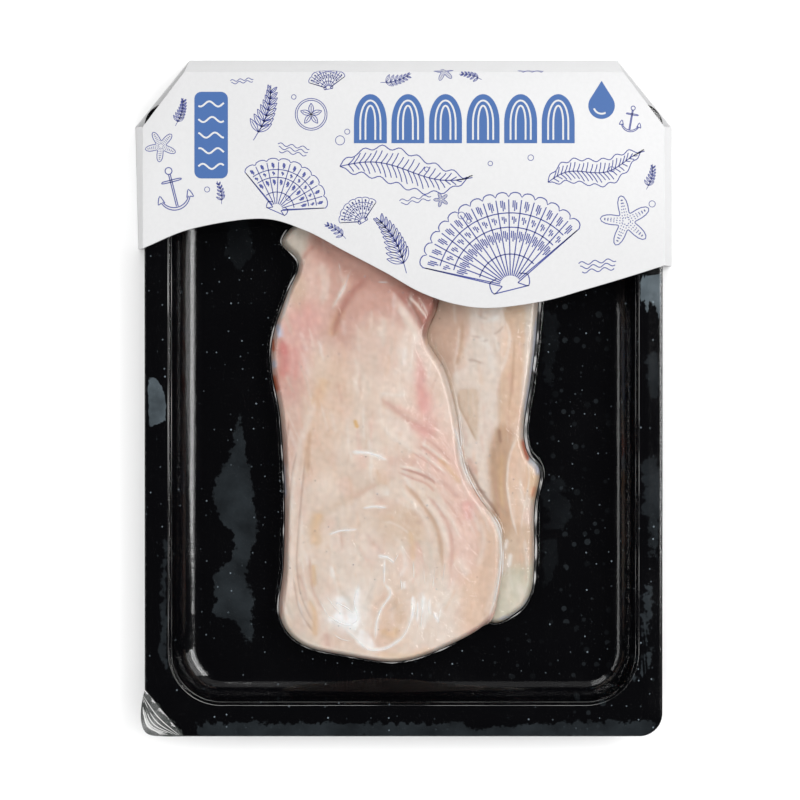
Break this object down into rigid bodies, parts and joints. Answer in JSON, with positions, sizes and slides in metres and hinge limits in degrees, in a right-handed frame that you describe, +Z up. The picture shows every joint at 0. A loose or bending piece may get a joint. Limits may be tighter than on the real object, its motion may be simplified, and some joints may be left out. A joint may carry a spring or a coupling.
{
  "type": "dish of redfish fillet",
  "caption": "Raw redfish fillets lying overlapped in a shallow rectangular black tray under a clear skin film, with a white card sleeve round the upper end.",
  "frame": {"origin": "on the table under the middle of the whole pack, at the bottom centre of its bounding box", "axes": "+Z up out of the tray, +Y along the tray toward the sleeved end, +X to the right seen from above with the sleeve away from the viewer"},
  "size_m": [0.1906, 0.2376, 0.0184],
  "materials": {
    "tray_plastic": "glossy black thermoformed plastic",
    "front_flesh": "wet, translucent, pale pink-beige raw fish flesh",
    "back_flesh": "wet, translucent, beige raw fish flesh",
    "film": "clear glossy skin film, slightly wrinkled",
    "card": "smooth coated white card with a blue print"
  },
  "bodies": {
    "root": {"tray": "tray_plastic", "fillet_front": "front_flesh", "fillet_back": "back_flesh", "film": "film", "sleeve": "card"}
  },
  "joints": []
}
